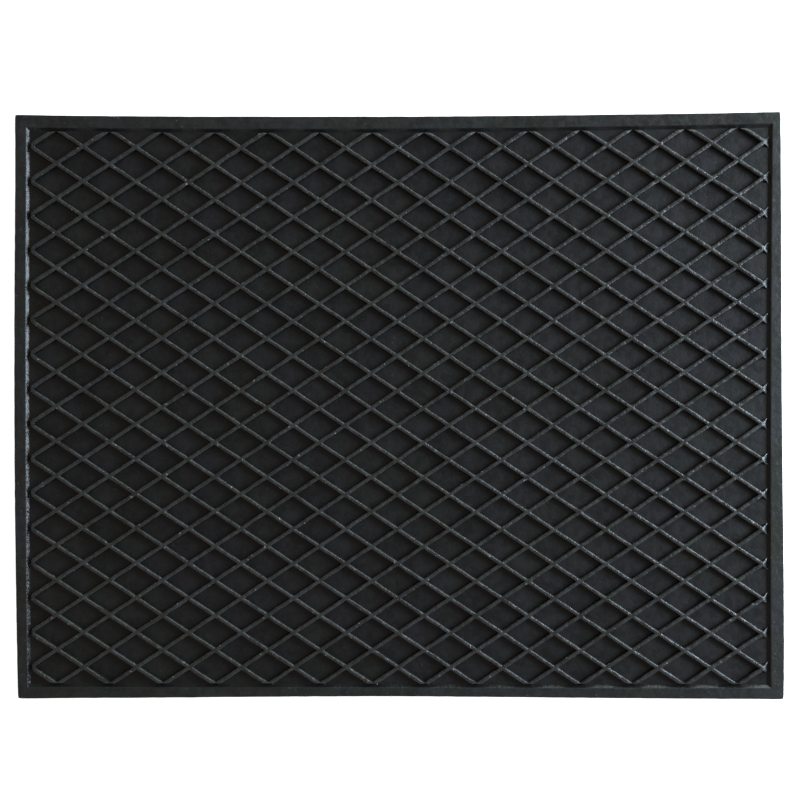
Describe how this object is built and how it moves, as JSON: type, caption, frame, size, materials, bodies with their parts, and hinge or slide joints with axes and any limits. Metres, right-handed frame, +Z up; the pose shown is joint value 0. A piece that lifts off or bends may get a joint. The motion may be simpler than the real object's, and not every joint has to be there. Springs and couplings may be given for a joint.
{
  "type": "door mat",
  "caption": "Rectangular black rubber door mat with a flat rim round a shallow well, and a lattice of diamond ribs across the well floor that stands a little higher than the rim.",
  "frame": {"origin": "middle of the underside", "axes": "+X along the long side to the right of someone who stands at the front rim, +Y from the front rim to the back rim, +Z up out of the ribbed face"},
  "size_m": [0.6, 0.456, 0.007],
  "materials": {
    "floor_rubber": "matt moulded, faintly mottled",
    "rim_rubber": "matt moulded with fine scuffs along its edges",
    "rib_rubber": "satin moulded, polished by wear along the tops"
  },
  "bodies": {
    "root": {"base_sheet": "floor_rubber", "border_left": "rim_rubber", "border_right": "rim_rubber", "border_back": "rim_rubber", "border_front": "rim_rubber", "diamond_lattice": "rib_rubber"}
  },
  "joints": []
}
